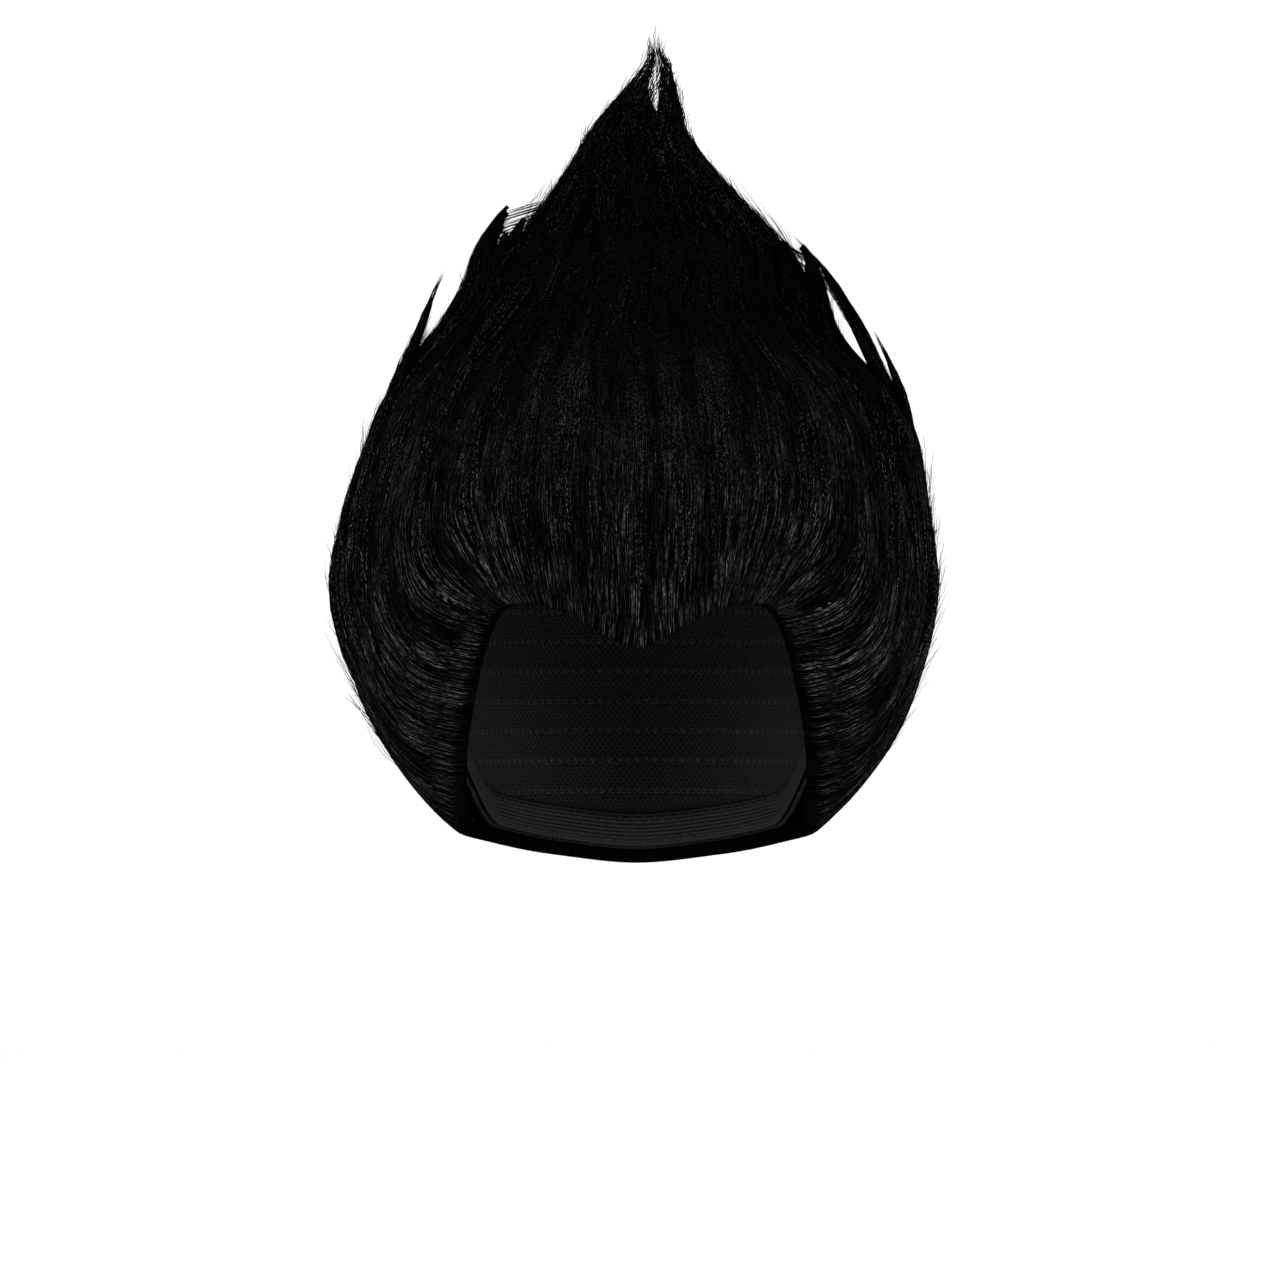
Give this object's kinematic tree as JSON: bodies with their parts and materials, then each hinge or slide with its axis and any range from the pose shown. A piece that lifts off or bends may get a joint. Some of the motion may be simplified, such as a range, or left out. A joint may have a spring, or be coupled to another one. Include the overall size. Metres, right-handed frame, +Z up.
{
  "type": "troll wig",
  "caption": "Black costume wig with a pointed hairline and puffed sides, its hair swept up from a stretch cap into one tall tip.",
  "frame": {"origin": "inside of the cap's crown, where the top of the wearer's head meets it", "axes": "+Z up, the front of the wig faces -Y, and +X is on the right of a viewer who faces it"},
  "size_m": [0.2475, 0.2542, 0.3361],
  "materials": {
    "hair_fibre": "crimped synthetic fibre, low sheen",
    "cap_net": "matte stretch net",
    "band_elastic": "matte woven elastic"
  },
  "bodies": {
    "root": {"net_cap": "cap_net", "edge_band": "band_elastic", "front_hair": "hair_fibre", "right_hair": "hair_fibre", "back_hair": "hair_fibre", "left_hair": "hair_fibre", "crown_hair": "hair_fibre"}
  },
  "joints": []
}
